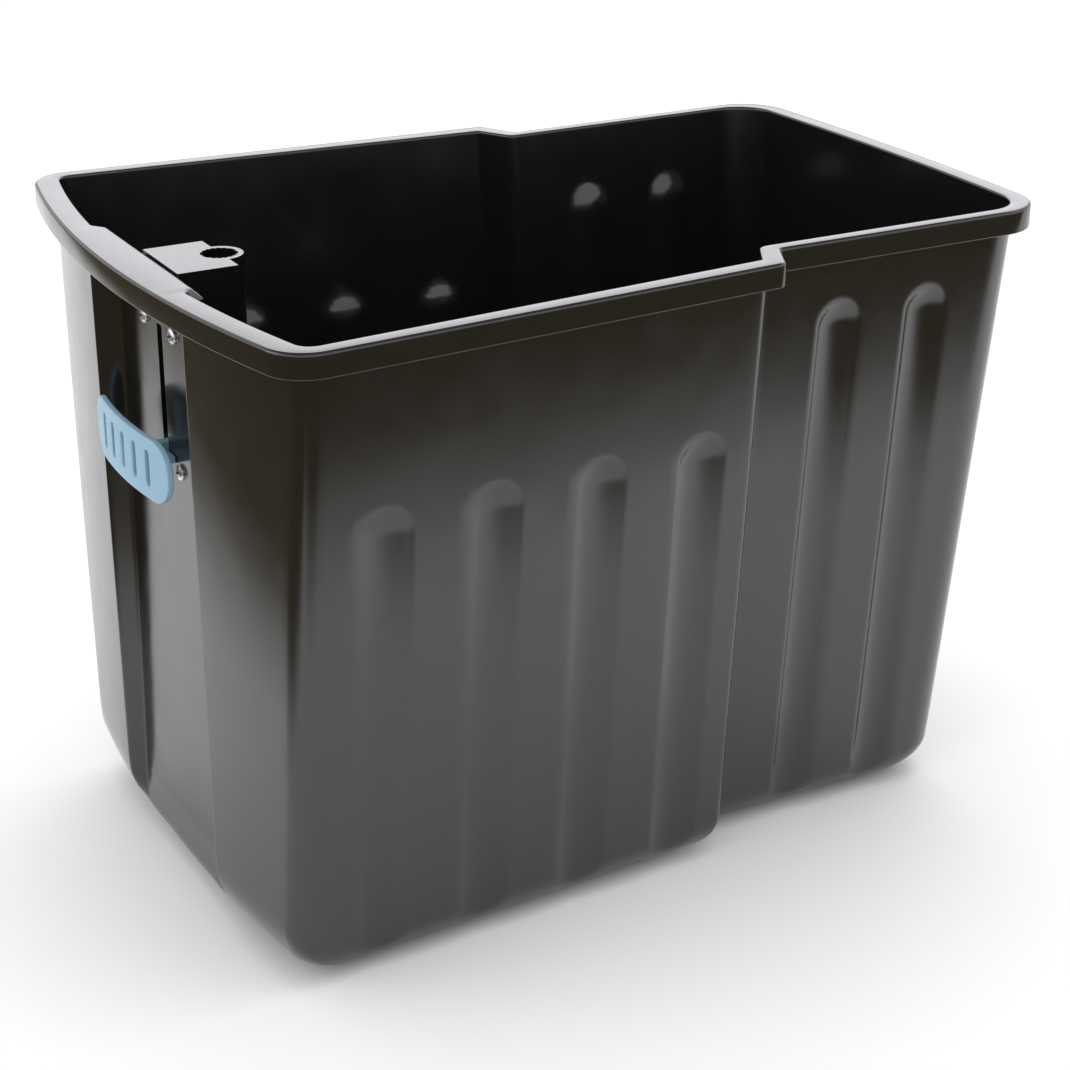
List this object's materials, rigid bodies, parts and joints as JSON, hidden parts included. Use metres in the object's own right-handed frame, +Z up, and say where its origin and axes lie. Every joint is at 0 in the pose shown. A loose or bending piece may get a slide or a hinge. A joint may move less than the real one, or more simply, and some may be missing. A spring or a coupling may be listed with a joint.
{
  "type": "grass box",
  "caption": "Deep moulded collection box for a garden shredder, stepped and tapered, with grooved sides, a rolled rim and a blue grip that lifts a lock pin.",
  "frame": {"origin": "middle of the base, on the plane that the feet stand on, under the middle of the rim", "axes": "+Z up, +X along the length towards the narrow far end, so the handle end with the grip points to -X"},
  "size_m": [0.565, 0.4196, 0.414],
  "materials": {
    "black_plastic": "gloss",
    "blue_plastic": "satin",
    "zinc_steel": "bright zinc"
  },
  "bodies": {
    "box": {"tub": "black_plastic", "guide_housing": "black_plastic", "housing_screw_1": "zinc_steel", "housing_screw_2": "zinc_steel", "housing_screw_3": "zinc_steel", "housing_screw_4": "zinc_steel"},
    "lock": {"lock_slider": "black_plastic", "grip": "blue_plastic", "grip_screw_upper": "zinc_steel", "grip_screw_lower": "zinc_steel"}
  },
  "joints": [
    {"name": "lock_lift", "type": "slide", "parent": "box", "child": "lock", "axis": [0, 0, 1], "range_m": [0, 0.07]}
  ]
}
